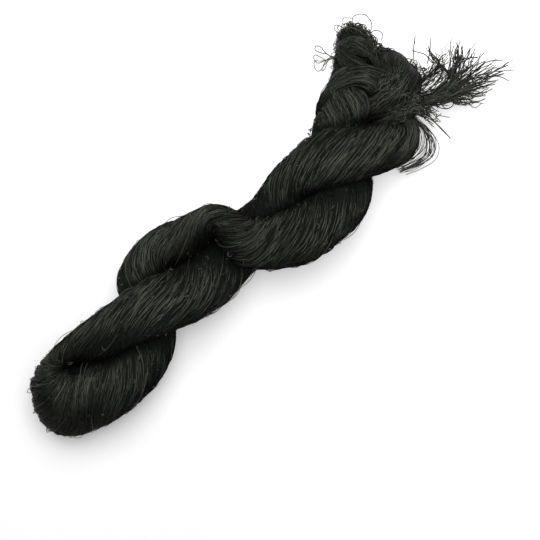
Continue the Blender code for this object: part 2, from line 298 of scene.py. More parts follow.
def nylon(name, dark, light, along, across, contrast, roughness, shine, bump=0.0, toned=False):
    """Black nylon: two close colours mixed by streaks that follow the piece's own map.

    along, across and contrast go to the streaks, and bump is their height in mm. Where
    toned is set, the map's height is the tone, and the streaks shift it by as much as they
    differ from a half. A darker thread shines less, too: most of the shine is in a coat
    whose weight is the tone, so the painted shade in the tone dims the shine as well.
    """
    material = bpy.data.materials.new(name)
    material.use_nodes = True
    tree = material.node_tree
    nodes, links = tree.nodes, tree.links
    shader = nodes["Principled BSDF"]
    place = nodes.new("ShaderNodeUVMap")
    place.uv_map = "threads"
    streaks = nodes.new("ShaderNodeGroup")
    streaks.node_tree = thread_streaks
    streaks.inputs["Along"].default_value = along
    streaks.inputs["Across"].default_value = across
    streaks.inputs["Contrast"].default_value = contrast
    links.new(place.outputs[0], streaks.inputs["Map"])
    mix = streaks.outputs[0]
    shader.inputs["Specular IOR Level"].default_value = shine
    if toned:
        split = nodes.new("ShaderNodeSeparateXYZ")
        links.new(place.outputs[0], split.inputs[0])
        shifted = arithmetic(tree, "ADD", split.outputs["Y"], mix)
        mix = arithmetic(tree, "SUBTRACT", shifted, 0.5, clamped=True)
        shader.inputs["Specular IOR Level"].default_value = BLACK_SHINE * shine
        shader.inputs["Coat Roughness"].default_value = roughness
        links.new(mix, shader.inputs["Coat Weight"])
    blend = nodes.new("ShaderNodeMix")
    blend.data_type = "RGBA"
    blend.inputs["A"].default_value = (*dark, 1)
    blend.inputs["B"].default_value = (*light, 1)
    links.new(mix, blend.inputs["Factor"])
    links.new(blend.outputs["Result"], shader.inputs["Base Color"])
    shader.inputs["Roughness"].default_value = roughness
    shader.inputs["Specular Tint"].default_value = SHEEN_TINT
    if bump:
        relief = nodes.new("ShaderNodeBump")
        relief.inputs["Strength"].default_value = 0.8
        relief.inputs["Distance"].default_value = bump * MM
        links.new(streaks.outputs[0], relief.inputs["Height"])
        links.new(relief.outputs[0], shader.inputs["Normal"])
    return material


def joined(shapes):
    """Many shapes as one, each one's point numbers shifted by the points before it.

    A shape is its points in mm, its quads and triangles, and the map places of both.
    """
    counts = np.cumsum([0] + [len(shape[0]) for shape in shapes[:-1]])
    points = np.vstack([shape[0] for shape in shapes])
    quads = np.vstack([shape[1] + n for shape, n in zip(shapes, counts)])
    triangles = np.vstack([shape[2] + n for shape, n in zip(shapes, counts)])
    corners = [shape[k].reshape(-1, 2) for k in (3, 4) for shape in shapes]
    return points, quads, triangles, np.vstack(corners)


def make_piece(name, shapes, material):
    """One object of the net, made of many shapes, on the root body that all the netting shares."""
    points, quads, triangles, places = joined(shapes)
    mesh = bpy.data.meshes.new(name)
    corners = np.concatenate([quads.ravel(), triangles.ravel()]).astype(np.int32)
    sizes = np.concatenate([np.full(len(quads), 4), np.full(len(triangles), 3)])
    starts = np.append(0, np.cumsum(sizes)[:-1]).astype(np.int32)
    mesh.vertices.add(len(points))
    mesh.loops.add(len(corners))
    mesh.polygons.add(len(sizes))
    placed = (points - CENTRE) * MM
    mesh.vertices.foreach_set("co", placed.astype(np.float32).ravel())
    mesh.loops.foreach_set("vertex_index", corners)
    mesh.polygons.foreach_set("loop_start", starts)
    mesh.polygons.foreach_set("use_smooth", np.ones(len(sizes), bool))
    for map_name in ("threads", "OFBake"):  # the material's own, and one to bake on
        layer = mesh.uv_layers.new(name=map_name)
        layer.data.foreach_set("uv", places.astype(np.float32).ravel())
    mesh.update(calc_edges=True)
    mesh.validate()
    mesh.materials.append(material)
    piece = bpy.data.objects.new(name, mesh)
    bpy.context.scene.collection.objects.link(piece)
    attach(piece, "root")
    return piece


SKIN_STEP = 4.0  # mm of thread between the skin's rings
SKIN_AROUND = 72
SKIN_SUNK = 0.9  # mm, the skin below the top threads
SEAM_LINES = [
    # threads packed in below the seams, where the halves press on each other
    [(-163.7, 2.7), (-149.9, -3.0), (-132.7, -10.6), (-112.7, -17.1), (-99.0, -20.9)],
    [(-81.7, 14.8), (-67.4, 11.5), (-54.5, 7.6), (-39.7, 4.8), (-28.1, 1.2)],
    [(6.9, -4.3), (21.4, -8.6), (32.2, -12.3), (45.0, -17.7), (57.8, -23.1)],
]
SEAM_HEIGHT, SEAM_HALF = 13.0, 7.0  # mm
PLY_SHARE = 0.6  # of the skin map's height; the folds and the seams share the rest


def skin_of(strand, low, high):
    """Closed skin of one strand, with the share of the map's height from low to high.

    Rings follow one another along the threads and columns keep to one thread each, so the
    grooves follow the columns. A ring stands at clumps - SKIN_SUNK above the strand's oval.
    Both ends are closed by a fan to the strand's middle.
    """
    rings = int(strand.length / SKIN_STEP)
    place = strand.length * np.linspace(0, 1, rings + 2)[1:-1]
    thread = 2 * math.pi * np.arange(SKIN_AROUND) / SKIN_AROUND
    thread, place = np.meshgrid(thread, place)
    points = strand.surface(thread, place, strand.clumps(thread, place) - SKIN_SUNK)
    points = np.vstack([points.reshape(-1, 3), strand.centre[:1], strand.centre[-1:]])
    points[:, 2] = np.maximum(points[:, 2], 0.0)
    row, column = np.meshgrid(np.arange(rings - 1), np.arange(SKIN_AROUND), indexing="ij")
    row, column = row.ravel(), column.ravel()
    here = row * SKIN_AROUND + column
    after = row * SKIN_AROUND + (column + 1) % SKIN_AROUND
    quads = np.stack([here, after, after + SKIN_AROUND, here + SKIN_AROUND], 1)
    ring = np.arange(SKIN_AROUND)
    ahead, end = (ring + 1) % SKIN_AROUND, (rings - 1) * SKIN_AROUND
    tip = np.full(SKIN_AROUND, len(points) - 2)
    first = np.stack([tip, ahead, ring], 1)
    last = np.stack([tip + 1, end + ring, end + ahead], 1)

    def spot(rings_on, columns_on):
        """Place on the map of a ring and a column."""
        height = low + (high - low) * columns_on / SKIN_AROUND
        return np.stack([(rings_on + 1) / (rings + 1), height], -1)

    quad_map = [spot(row + i, column + j) for i, j in ((0, 0), (0, 1), (1, 1), (1, 0))]
    tip_row, end_row = 0.0 * ring - 1, 0.0 * ring + rings - 1
    first_map = [spot(tip_row, ring + 0.5), spot(tip_row + 1, ring + 1), spot(tip_row + 1, ring)]
    last_map = [spot(end_row + 1, ring + 0.5), spot(end_row, ring), spot(end_row, ring + 1)]
    caps = np.vstack([np.stack(first_map, 1), np.stack(last_map, 1)])
    return points, quads, np.vstack([first, last]), np.stack(quad_map, 1), caps


# Painted shade in part: the skin is black nylon made darker and blue-black, for the deep threads seen in
# the gaps between the top ones.
skin_nylon = nylon(
    "net_skin_nylon",
    dark=(0.003, 0.0044, 0.0048),
    light=(0.011, 0.0126, 0.011),
    along=60.0,
    across=260.0,
    contrast=2.4,
    roughness=0.62,
    shine=0.12,
    bump=0.5,
)
seams = []
for line in SEAM_LINES:
    rows = [(*place, SEAM_HEIGHT, SEAM_HALF, SEAM_HALF, 0) for place in line]
    seams.append(Strand(rows, seed=17, clump_depth=0.2))
skins = strands + seams
bands = np.append(0.0, np.linspace(PLY_SHARE, 1.0, len(skins)))
skin_shapes = [skin_of(strand, *bands[k : k + 2]) for k, strand in enumerate(skins)]
net_skin = make_piece("net_skin", skin_shapes, skin_nylon)
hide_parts("hank")


# ---------------------------------------------------------------------------------------
# The top threads of the two halves: runs of fine round nylon laid along the ply and tucked
# under at both ends. They keep to the clumps, lean and wander a little, and some stray.
# ---------------------------------------------------------------------------------------
THREAD_RADIUS, OVER_RADIUS, SHORT_RADIUS = 0.26, 0.23, 0.2  # mm
SIDES = 3  # of a tube, which smooth shading makes round
RADIUS_SPREAD = (0.8, 1.2)  # least and most share of the radius that a thread has
TONE_BAND = 0.008  # of the map's height, round one thread
thread_nylon = nylon(
    "net_thread_nylon",
    dark=(0.005, 0.0065, 0.0055),
    light=(0.128, 0.135, 0.107),
    along=14.0,
    across=40.0,
    contrast=0.7,
    roughness=0.42,
    shine=0.6,
    toned=True,
)


def carried_frames(paths):
    """Normals and binormals along many paths, carried without twist.

    The next normal is the last one, less its part along the new way ahead.
    """
    ahead = unit(np.gradient(paths, axis=1))
    upright = np.abs(ahead[:, 0, 2:]) > 0.8
    carried = unit(np.cross(ahead[:, 0], np.where(upright, (1.0, 0, 0), (0, 0, 1.0))))
    normal = np.empty_like(paths)
    for k in range(paths.shape[1]):
        carried = carried - (carried * ahead[:, k]).sum(-1, keepdims=True) * ahead[:, k]
        carried = unit(carried)
        normal[:, k] = carried
    return normal, np.cross(ahead, normal)


def tone_maps(tone):
    """Map places of the tubes' quads and of their end triangles.

    x runs along the thread and y is its tone, 0.02 + 0.96 * tone, give or take half of
    TONE_BAND, so threads of one tone share a place.
    """
    u = np.linspace(0, 1, tone.shape[1])
    tone = 0.02 + 0.96 * np.clip(tone, 0, 1)
    shift = TONE_BAND * (np.arange(SIDES + 1) / SIDES - 0.5)
    left = np.stack(np.broadcast_arrays(u[:-1, None], tone[:, :-1, None] + shift), -1)
    right = np.stack(np.broadcast_arrays(u[1:, None], tone[:, 1:, None] + shift), -1)
    quad_map = np.stack([left[:, :, :-1], left[:, :, 1:], right[:, :, 1:], right[:, :, :-1]], 3)
    caps = []
    for x, row in ((0.0, tone[:, 0]), (1.0, tone[:, -1])):
        offsets = ((0, -TONE_BAND / 2), (0, TONE_BAND / 2), (0.002 - 0.004 * x, 0))
        corners = [np.stack([x + 0 * row + dx, row + dy], 1) for dx, dy in offsets]
        caps.append(np.stack(corners, 1))
    return quad_map.reshape(-1, 4, 2), np.vstack(caps)


def tubes(paths, tone, radius=THREAD_RADIUS, tip_share=0.6, seed=5):
    """Round tubes on many paths at once: paths is threads x stations x 3.

    A station's ring stands at radius * (normal * cos(t) + binormal * sin(t)), and its
    radius is 1 - (1 - tip_share) * |2 u - 1|**4 of the thread's own.
    """
    threads, stations = paths.shape[:2]
    normal, binormal = carried_frames(paths)
    t = 2 * math.pi * np.arange(SIDES) / SIDES
    u = np.linspace(0, 1, stations)
    taper = 1 - (1 - tip_share) * np.abs(2 * u - 1) ** 4
    width = radius * np.random.default_rng(seed).uniform(*RADIUS_SPREAD, (threads, 1)) * taper
    ring = normal[:, :, None] * np.cos(t)[:, None] + binormal[:, :, None] * np.sin(t)[:, None]
    points = (paths[:, :, None] + width[..., None, None] * ring).reshape(-1, 3)
    points[:, 2] = np.maximum(points[:, 2], 0.0)
    counts = np.arange(threads), np.arange(stations - 1), np.arange(SIDES)
    thread, station, side = np.meshgrid(*counts, indexing="ij")
    base = (thread * stations + station) * SIDES
    after = (side + 1) % SIDES
    quads = [base + side, base + after, base + after + SIDES, base + side + SIDES]
    quads = np.stack(quads, -1).reshape(-1, 4)
    first = np.arange(threads) * stations * SIDES
    last = first + (stations - 1) * SIDES
    triangles = np.vstack([first[:, None] + [2, 1, 0], last[:, None] + [0, 1, 2]])
    return points, quads, triangles, *tone_maps(np.broadcast_to(tone, (threads, stations)))


GRID_COLUMNS, GRID_ROWS = 420, 150  # cells of one millimetre
GRID_LEFT, GRID_BELOW = 210, 70  # mm from the rows' zero point to the grid's corner


def cells(x, y):
    """Columns and rows of the grid at places in mm, kept within it."""
    column = np.clip(np.round(x + GRID_LEFT), 0, GRID_COLUMNS - 1).astype(int)
    row = np.clip(np.round(y + GRID_BELOW), 0, GRID_ROWS - 1).astype(int)
    return column, row


def top_of_net():
    """Height of the net's top on the grid, mm: the highest point of any strand in a cell."""
    height = np.zeros((GRID_COLUMNS, GRID_ROWS))
    around = 240  # points round a strand, close enough to leave no cell out
    for strand in strands:
        thread = 2 * math.pi * np.arange(around) / around
        thread, place = np.meshgrid(thread, np.arange(0, strand.length, 0.8))
        points = strand.surface(thread, place, 0 * place).reshape(-1, 3)
        np.maximum.at(height, cells(points[:, 0], points[:, 1]), points[:, 2])
    return height


net_top = top_of_net()
WAYS = 8  # round a point, in which its openness is read
DISTANCES = (3, 5, 8, 12, 17, 23)  # mm from the point, at which it is read


def openness(points):
    """How open a point lies, 1 on a crest down to 0 deep in a groove.

    The mean over all ways of 1 / (1 + s * s), for s the steepest rise from half a mm above
    the point to the net's top along that way.
    """
    total = np.zeros(points.shape[:-1])
    for turn in 2 * math.pi * np.arange(WAYS) / WAYS:
        steepest = np.zeros(points.shape[:-1])
        for distance in DISTANCES:
            x = points[..., 0] + distance * math.cos(turn)
            y = points[..., 1] + distance * math.sin(turn)
            rise = (net_top[cells(x, y)] - points[..., 2] - 0.5) / distance
            steepest = np.maximum(steepest, rise)
        total += 1 / (1 + steepest**2)
    return total / WAYS


OWN_REACH = 62  # mm along a strand within which it never buries its own threads
WITHIN = 1.2  # mm below a strand's oval, from where on a point is buried
SLAB = 6.0  # mm, how far ahead of its middle a section still counts
OUT_OF_REACH = 1e6  # square mm


def buried(points, place, own):
    """Which points lie inside another strand, or inside their own at another turn.

    A point is inside where (across / w)**2 + (upwards / h)**2 + (ahead / SLAB)**2 < 1 in
    the frame of the strand's nearest section, w and h its half sizes less WITHIN. Of its
    own strand, only the sections more than OWN_REACH away along it count.
    """
    flat = points.reshape(-1, 3)
    inside = np.zeros(len(flat), bool)
    for strand in strands:
        pick = slice(None, None, 5)  # every fifth section is close enough
        centre, ahead = strand.centre[pick], strand.ahead[pick]
        gap = ((flat**2).sum(1)[:, None] + (centre**2).sum(1)[None]) - 2 * flat @ centre.T
        if strand is own:
            here = np.interp(place.ravel(), np.arange(len(strand.along)), strand.along)
            close = np.abs(here[:, None] - strand.along[pick][None]) < OWN_REACH
            gap = gap + OUT_OF_REACH * close
        near = gap.argmin(1)
        away = flat - centre[near]
        half = np.maximum(strand.half[pick][near], 0.5) - WITHIN
        wide = (away * strand.side[pick][near]).sum(1) / half[:, 0]
        high = (away * strand.up[pick][near]).sum(1) / half[:, 1]
        past = (away * ahead[near]).sum(1) / SLAB
        found = wide**2 + high**2 + past**2 < 1
        if strand is own:
            found &= gap[np.arange(len(flat)), near] < OUT_OF_REACH / 10
        inside |= found
    return inside.reshape(points.shape[:2])


# Painted shade where the change is below zero and painted light where it is above: each patch darkens or
# lightens the threads' tone in an oval.
LIGHT_AND_SHADE_PATCHES = [
    # x and y of the middle, half length, half width, turn in degrees, and the change there
    (-133, -8, 38, 10, -23, -0.88),
    (-40, -1, 22, 14, -20, -0.9),
    (1, -9, 9, 7, -25, -0.75),
    (41, -27, 26, 9, -22, -0.88),
    (-183, -8, 19, 14, 80, -0.93),
    (-168, -34, 23, 12, -10, -0.88),
    (123, 15, 15, 11, 0, -0.4),
    (91, 20, 12, 7, 0, -0.3),
    (112, 40, 10, 8, 0, -0.25),
    (136, 11, 14, 9, -70, -0.6),
    (96, -9, 26, 5, -38, -0.6),
    (50, -13, 20, 10, -20, 0.35),
    (36, -52, 22, 9, -15, 0.5),
    (-74, 16, 13, 8, 0, 0.4),
    (96, -27, 22, 12, -20, 0.35),
    (-93, -6, 30, 9, -14, 0.5),
]


def painted_light_and_shade(points):
    """Share of the tone that is left by patches of painted shade and painted light.

    Each patch is an oval bell, 1 + change * exp(-(l / length)**2 - (w / width)**2), and the
    patches are multiplied.
    """
    share = np.ones(points.shape[:-1])
    for x, y, length, width, turn, change in LIGHT_AND_SHADE_PATCHES:
        turn = math.radians(turn)
        dx, dy = points[..., 0] - x, points[..., 1] - y
        along = (dx * math.cos(turn) + dy * math.sin(turn)) / length
        over = (dy * math.cos(turn) - dx * math.sin(turn)) / width
        share *= 1 + change * np.exp(-(along**2) - over**2)
    return share


# Painted shade: a thread's tone falls to black as its openness falls from OPEN to CLOSED, and towards the
# table within TABLE_FADE.
CLOSED, OPEN = 0.66, 0.96  # openness where a thread is black, and where it has its full tone
TABLE_FADE = 24  # mm above the table over which the tone comes back


def toned(paths, tone):
    """Tones of threads with painted shade, black in grooves and by the table.

    tone * groove * table * patches, the patches' painted light and shade: groove goes from 0
    to 1 as the openness goes from CLOSED to OPEN, and table is (height + 2 mm) / TABLE_FADE,
    kept within 0.1 and 1.
    """
    groove = np.clip((openness(paths) - CLOSED) / (OPEN - CLOSED), 0, 1)
    table = np.clip((paths[..., 2] + 2) / TABLE_FADE, 0.1, 1)
    return tone * groove * table * painted_light_and_shade(paths)


SLOW_WAVES, CRIMP_WAVES, RIPPLE_WAVES = (0.08, 0.22), (0.5, 1.2), (0.3, 0.9)  # radians a mm
RIPPLE = 0.15  # mm
STRAY_SHARE = 0.05
STRAY_LIFT = (0.2, 0.7)  # mm
TUCK = 1.5  # mm that the ends are pushed in
MOST_BURIED = 0.8  # of a thread; past that it's left out
PATCH_TONE = 0.06


def laid_threads(
    strand, count, stations, step, seed,
    lean=0.003, wander=0.015, crimp=0.0, depth=(-0.6, 0.15), tones=(0.05, 0.6), span=(0.0, 1.0)
):
    """Paths and tones of runs of thread laid on a strand.

    A run keeps one thread angle, plus a steady lean, two slow sine waves and one short one,
    the crimp, in radians. Its lift is the clumps' height, its own and a ripple, less TUCK *
    (1 - sin(pi u)**0.3), which tucks both ends in. One run in twenty strays: it leans more
    and rides over the others. Its tone, between the two given, is high on the ridges
    between the fine grooves and low in them, a painted shade, and changes a little from
    patch to patch of the strand. Last, toned gives it its painted shade and light.
    """
    random = np.random.default_rng(seed)
    reach = step * (stations - 1)
    low, high = strand.length * span[0], strand.length * span[1] - reach
    start = random.uniform(low, max(high, low + 0.01), (count, 1))
    u = np.linspace(0, 1, stations)
    place = start + u * reach
    strays = random.random((count, 1)) < STRAY_SHARE
    thread = random.uniform(0, 2 * math.pi, (count, 1))
    wave = random.uniform(*SLOW_WAVES, (count, 2, 1))
    phase = random.uniform(0, 2 * math.pi, (count, 2, 1))
    size = wander * random.normal(0, 0.6, (count, 2, 1))
    leaning = random.normal(0, lean, (count, 1)) * (1 + 2 * strays)
    thread = thread + (size * np.sin(wave * place[:, None] + phase)).sum(1)
    thread = thread + leaning * (place - place.mean(1, keepdims=True))
    short = crimp * random.normal(0, 1, (count, 1))
    crimp_wave = random.uniform(*CRIMP_WAVES, (count, 1))
    thread = thread + short * np.sin(place * crimp_wave + phase[:, 1])
    above = random.uniform(*depth, (count, 1)) + strays * random.uniform(*STRAY_LIFT, (count, 1))
    ripple_wave = random.uniform(*RIPPLE_WAVES, (count, 1))
    ripple = RIPPLE * np.sin(place * ripple_wave + phase[:, 0])
    untucked = np.sin(math.pi * u) ** 0.3
    lift = strand.clumps(thread, place) + above + ripple - TUCK * (1 - untucked)
    paths = strand.surface(thread, place, lift)
    kept = buried(paths, place, strand).mean(1) < MOST_BURIED
    paths[..., 2] = np.maximum(paths[..., 2], THREAD_RADIUS)
    paths, place, thread = paths[kept], place[kept], thread[kept]
    patch = np.sin(3 * thread + place / 23) * np.sin(5 * thread - place / 31 + 1.7)
    whim = random.normal(0, 0.16, (len(paths), 1))
    # painted shade: a thread in a fine groove is darker, one on a ridge between them lighter
    ridge = 0.51 + 0.085 * strand.ripples(1, thread, place) + whim
    own = tones[0] + (tones[1] - tones[0]) * np.clip(ridge, 0, 1)
    return paths, toned(paths, own + PATCH_TONE * patch)


def between(guides, share):
    """Threads' knots between guide lines: a share of 0 to 1 mixes the two guides beside it."""
    guides = np.array(guides, float)
    place = np.clip(share, 0, 0.9999) * (len(guides) - 1)
    low = place.astype(int)
    part = (place - low)[:, None, None]
    return guides[low] * (1 - part) + guides[low + 1] * part


NET_EDGE = 9  # mm, the net's top is lower than this only past its edge
SWAY = 0.22  # mm
FALL = 1.8  # mm a station, past the net's edge
END_DROP = 1.6  # mm


def draped(knots, stations, lift, seed):
    """Threads through knots given as x and y, lying on the net's top.

    Each sways by two sine waves of its own. Its height is the net's top below it, and it is
    drawn taut over the hollows: again and again it is raised to the middle of the line
    between two of its stations. Past the net's edge it goes down steadily from the last
    station on the net, and a thread mostly past the edge is left out. Its own lift, less
    END_DROP * (1 - sin(pi u)**0.35), is added last.
    """
    random = np.random.default_rng(seed)
    count = len(knots)
    flat = curve_through(knots, stations)
    u = np.linspace(0, 1, stations)
    cycles = random.uniform(5, 20, (count, 2, 1, 1))
    phase = random.uniform(0, 6, (count, 2, 1, 1))
    sway = random.normal(0, 1, (count, 2, 1, 2)) * np.sin(u[:, None] * cycles + phase)
    flat = flat + SWAY * sway.sum(1)
    height = net_top[cells(flat[..., 0], flat[..., 1])]
    kept = (height > NET_EDGE).mean(1) > 0.6
    flat, height, count = flat[kept], height[kept], kept.sum()
    steps = np.arange(stations)
    for _ in range(2):  # forwards, and backwards
        seen = np.maximum.accumulate(np.where(height > NET_EDGE, steps, 0), 1)
        height = (np.take_along_axis(height, seen, 1) - FALL * (steps - seen))[:, ::-1]
    for reach in (1, 2, 4, 2, 1, 3, 2, 1):
        middle = (height[:, : -2 * reach] + height[:, 2 * reach :]) / 2
        height[:, reach:-reach] = np.maximum(height[:, reach:-reach], middle)
    rise = random.uniform(*lift, (count, 1)) - END_DROP * (1 - np.sin(math.pi * u) ** 0.35)
    height = np.maximum(height + rise, THREAD_RADIUS)
    return np.concatenate([flat, height[..., None]], -1)


def sheet(count, scatter, tone, guides, stations, seed, lift=(-0.7, 0.8)):
    """Draped threads spread evenly over guide lines, and their tones.

    A tone is the sheet's, times a draw of 0 to 1.2 to the power of 1.9, so most are dark.
    """
    random = np.random.default_rng(seed)
    knots = between(guides, random.uniform(0, 1, count))
    knots = knots + random.normal(0, scatter, (count, 1, 2))
    knots = knots + random.normal(0, 0.35 * scatter, knots.shape)
    paths = draped(knots, stations, lift, seed)
    return paths, toned(paths, tone * random.uniform(0, 1.2, (len(paths), 1)) ** 1.9)


FOLD = 0.54  # the share of the ply's run at its fold
EYE_FAN = [
    # out of the loop's eye, from its far side round to the seam
    [(-158.6, 0.5), (-159.8, 4.4), (-161.9, 9.2), (-165.6, 14.6)],
    [(-159.9, -0.4), (-164.4, 1.7), (-169.0, 4.5), (-173.6, 7.4)],
    [(-160.7, -1.8), (-167.0, -1.7), (-174.8, -1.7), (-183.2, -0.4)],
    [(-160.1, -3.3), (-168.0, -8.1), (-177.4, -12.1), (-187.8, -12.8)],
    [(-158.8, -6.6), (-166.1, -13.4), (-174.4, -19.7), (-184.7, -25.4)],
    [(-154.8, -11.1), (-162.2, -16.8), (-169.9, -24.4), (-178.6, -33.0)],
    [(-148.9, -16.2), (-156.4, -21.8), (-163.1, -30.1), (-171.4, -38.9)],
]
HALVES = {
    # a seed, and where on the ply's run it starts and ends
    "first": (5, (0.0, FOLD)),
    "second": (6, (FOLD - 0.06, 1.0)),
}
for half, (seed, span) in HALVES.items():
    under = laid_threads(ply, 640, 18, 2.8, seed=seed, tones=(0.13, 0.6), span=span)
    over = laid_threads(
        ply, 1350, 15, 1.9, seed=20 + seed,
        crimp=0.006, depth=(-0.4, 0.15), tones=(0.14, 0.6), span=span
    )
    short = laid_threads(
        ply, 3300, 8, 1.2, seed=60 + seed,
        lean=0.004, crimp=0.012, depth=(-0.2, 0.3), tones=(0.07, 1.08), span=span
    )
    make_piece(half + "_half_under_threads", [tubes(*under)], thread_nylon)
    make_piece(half + "_half_over_threads", [tubes(*over, OVER_RADIUS, seed=6)], thread_nylon)
    make_piece(half + "_half_short_threads", [tubes(*short, SHORT_RADIUS, seed=7)], thread_nylon)
eye_fan = sheet(380, 0.7, 0.65, EYE_FAN, 13, 29)
make_piece("eye_fan_threads", [tubes(*eye_fan, seed=9)], thread_nylon)



# ---------------------------------------------------------------------------------------
# The knot's threads. Its folds are combed along their length, and threads pulled out of
# them lie over the top from fold to fold, more and more crossed, and run into the neck.
# ---------------------------------------------------------------------------------------
KNOT_SHEETS = [
    # threads, their scatter in mm, their tone, and guide lines of x and y in mm
    # the bulge, coming out from below the wrap
    (200, 0.7, 0.6, [
        [(68.5, 20.3), (67.6, 18.3), (66.5, 15.1), (65.6, 12.0)],
        [(80.0, 23.3), (78.2, 18.2), (76.5, 11.3), (75.7, 5.3)],
        [(88.4, 20.4), (86.8, 14.6), (85.2, 7.7), (83.4, 1.4)],
        [(94.0, 17.1), (95.5, 10.8), (93.6, 4.5), (87.8, -0.4)],
        [(99.5, 13.6), (100.8, 8.0), (98.8, 2.3), (92.4, -2.3)],
    ]),
    # the wrap's outer, middle and inner run
    (200, 0.8, 0.52, [
        [(73, 24), (81.8, 29.1), (93.5, 30.4), (105, 28.1), (114.2, 21.1), (119.8, 12.3), (120.6, 6.1)],
        [(74, 24), (82.6, 27.2), (92.6, 27.2), (101.2, 23.8), (108.1, 18.1), (112.4, 11.2), (112.5, 5.2)],
        [(75, 23.6), (82.4, 25), (89.8, 24), (96.9, 20.6), (102.4, 15.2), (105.1, 9.5), (104.9, 4.0)],
    ]),
    # the ear's arcs, taut down to the lobe
    (150, 0.8, 0.38, [
        [(107.6, 43.4), (113.6, 45.5), (119.1, 44.0), (121.1, 37.3), (121.6, 29.7), (122.1, 22.1)],
        [(104.9, 41.2), (111.2, 41.7), (116.7, 40.2), (119.0, 33.6), (120.0, 26.6), (118.1, 17.3)],
        [(101.1, 37.7), (107.4, 37.4), (113.7, 35.7), (117.1, 29.5), (120.1, 24.6), (117.0, 13.4)],
    ]),
    # from the ear's near flank down behind the wrap
    (90, 0.9, 0.35, [
        [(113.5, 50.9), (112.0, 41.5), (113.1, 33.1), (117.4, 25.9)],
        [(108.8, 45.9), (108.1, 39.0), (109.2, 31.5), (111.6, 22.1)],
        [(105.6, 44.0), (104.3, 36.7), (104.1, 29.1), (107.5, 21.4)],
    ]),
    # the lobe's shell, drawn together at its foot
    (180, 0.7, 0.6, [
        [(126.2, 27.8), (122.8, 22.8), (119.3, 13.8), (119.6, 7.2)],
        [(131.9, 26.0), (126.8, 18.9), (122.6, 11.7), (120.6, 6.4)],
        [(136.3, 21.3), (130.2, 15.2), (124.8, 9.4), (121.6, 5.3)],
        [(138.9, 14.4), (132.2, 10.7), (125.9, 6.8), (120.8, 3.8)],
        [(140.0, 9.5), (132.6, 6.1), (126.1, 4.0), (121.4, 2.5)],
    ]),
    # the side fold's slant
    (120, 0.8, 0.5, [
        [(140.2, 8.5), (132.9, 4.3), (124.4, 1.0), (118.6, -0.9)],
        [(141.0, 3.5), (134.1, 0.1), (125.8, -3.8), (119.3, -5.6)],
        [(139.0, -2.3), (132.5, -6.0), (126.8, -8.5), (121.2, -9.0)],
    ]),
    # from the bulge up to the lobe's foot
    (180, 1.0, 0.5, [
        [(99.8, 5.7), (104.6, 4.5), (111.7, 4.3), (119.8, 4.7)],
        [(98.7, 1.0), (105.3, 0.0), (113.2, -0.3), (121.6, 0.7)],
        [(96.4, -3.1), (105.7, -4.4), (114.5, -5.8), (122.9, -5.1)],
    ]),
    # into the neck from the bulge
    (200, 1.2, 0.55, [
        [(98.0, 1.4), (106.0, -1.4), (115.6, -4.5), (124.6, -10.1)],
        [(96.4, -3.1), (105.7, -6.3), (115.9, -10.3), (127.7, -13.5)],
        [(96.2, -9.1), (106.1, -13.9), (116.7, -16.8), (128.0, -17.5)],
    ]),
]


def crossed(count, box, lengths, ways, seed):
    """Short draped threads thrown over a field: a start in the box, a length and a way each.

    box is the field's corner and its two edges, and a way is an angle from the x axis. A
    thread is start + reach * s * way, bent sideways by bend * 4 * s * (1 - s).
    """
    random = np.random.default_rng(seed)
    corner, one, other = np.array(box, float)
    start = corner + random.random((count, 1)) * one + random.random((count, 1)) * other
    angle = random.uniform(*ways, count)
    way = np.stack([np.cos(angle), np.sin(angle)], 1)
    reach = random.uniform(*lengths, (count, 1, 1))
    square = np.stack([-way[:, 1], way[:, 0]], 1)[:, None]
    bend = random.normal(0, 0.18, (count, 1, 1)) * reach * square
    share = np.linspace(0, 1, 4)[:, None]
    knots = start[:, None] + reach * share * way[:, None] + bend * share * (1 - share) * 4
    paths = draped(knots, 8, (-0.2, 1.4), seed)
    return paths, toned(paths, random.uniform(0, 1.15, (len(paths), 1)) ** 1.8)


CROSSED_FIELDS = [
    # threads, field, lengths in mm, ways in radians
    (300, [(99, -3), (26, -4), (2, -14)], (3, 9), (-0.9, 0.6)),
    (110, [(104, 6), (12, -8), (10, 6)], (3, 9), (-0.4, 0.9)),
    (90, [(119, 27), (18, -1), (-2, 5)], (2, 6), (-2.6, 1.2)),
]
FOLD_RUNS = [
    # fold, threads, stations on each, mm between two stations, and a seed
    (wrap, 260, 16, 3.2, 31),
    (ear_wrap, 140, 13, 2.8, 38),
    (lobe, 230, 13, 2.8, 32),
    (side_fold, 200, 12, 2.8, 33),
]
COMBED = {"wander": 0.05, "crimp": 0.02, "tones": (0.05, 0.45)}
DRAPED_RADIUS = 0.27  # mm
neck_threads = laid_threads(neck, 150, 9, 2.4, 34, wander=0.1, crimp=0.02, tones=(0.1, 0.7))
knot_shapes = [tubes(*laid_threads(*row, **COMBED)) for row in FOLD_RUNS]
knot_shapes.append(tubes(*neck_threads))
for k, row in enumerate(KNOT_SHEETS):
    knot_shapes.append(tubes(*sheet(*row, 13, 35 + k), DRAPED_RADIUS))
for k, row in enumerate(CROSSED_FIELDS):
    knot_shapes.append(tubes(*crossed(*row, 45 + k), DRAPED_RADIUS, 0.9))
make_piece("knot_threads", knot_shapes, thread_nylon)


